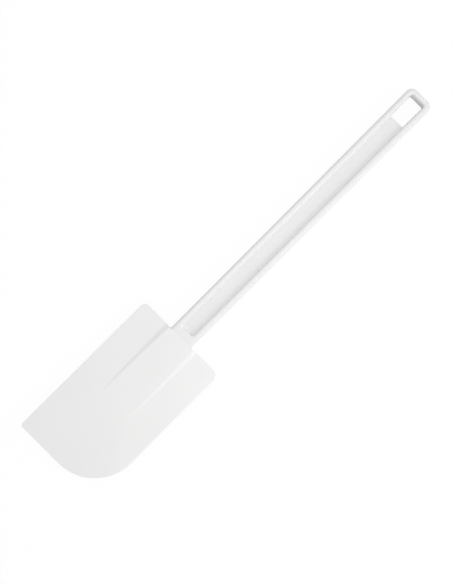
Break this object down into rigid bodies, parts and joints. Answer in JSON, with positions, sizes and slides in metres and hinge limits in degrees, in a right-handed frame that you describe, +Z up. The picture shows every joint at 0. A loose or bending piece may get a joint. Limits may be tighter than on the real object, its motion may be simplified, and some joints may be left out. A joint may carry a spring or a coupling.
{
  "type": "rubber spatula",
  "caption": "White rubber spatula: flat moulded handle of H section with a hanging slot, and a soft tapered blade with one swept corner on its tang.",
  "frame": {"origin": "centre of the spatula's length and width, on the plane it lies on", "axes": "+Y along the handle from the blade to the hanging slot, +X across the blade towards its swept corner, +Z up through the thickness of the lying spatula"},
  "size_m": [0.0712, 0.35, 0.008],
  "materials": {
    "handle_plastic": "satin white moulded polypropylene",
    "blade_rubber": "soft white moulded rubber, fine matt skin"
  },
  "bodies": {
    "handle": {"handle": "handle_plastic"},
    "blade": {"blade": "blade_rubber"}
  },
  "joints": [
    {"name": "blade_pull", "type": "slide", "parent": "handle", "child": "blade", "axis": [0, -1, 0], "range_m": [0, 0.058]}
  ]
}
